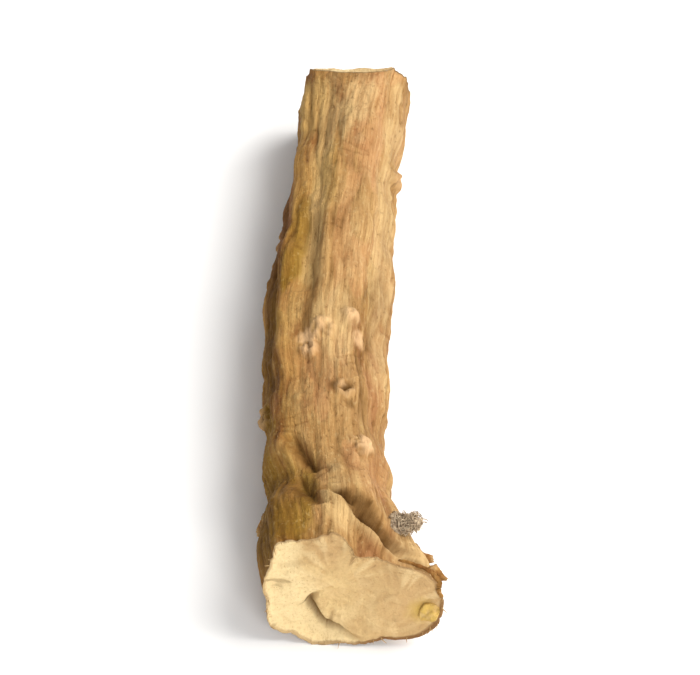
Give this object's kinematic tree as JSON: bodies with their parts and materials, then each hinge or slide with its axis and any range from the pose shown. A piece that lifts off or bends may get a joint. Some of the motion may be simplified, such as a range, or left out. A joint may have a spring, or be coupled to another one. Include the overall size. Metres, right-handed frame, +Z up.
{
  "type": "dried long pepper root piece",
  "caption": "Dried, chopped piece of long pepper root with ribbed bark, a swollen knot where a side root leaves, broken rootlets and pale cut ends.",
  "frame": {"origin": "on the surface that the piece rests on, under the middle of its box", "axes": "+Z up; +Y along the root, from the knotted end with its slanting cut towards the plain chopped end; +X towards the side root of the knot"},
  "size_m": [0.0076, 0.029, 0.0054],
  "materials": {
    "root_bark": "matt, dry, warm tan bark with darker furrows and pale cream cut ends"
  },
  "bodies": {
    "root": {"root_piece": "root_bark"}
  },
  "joints": []
}
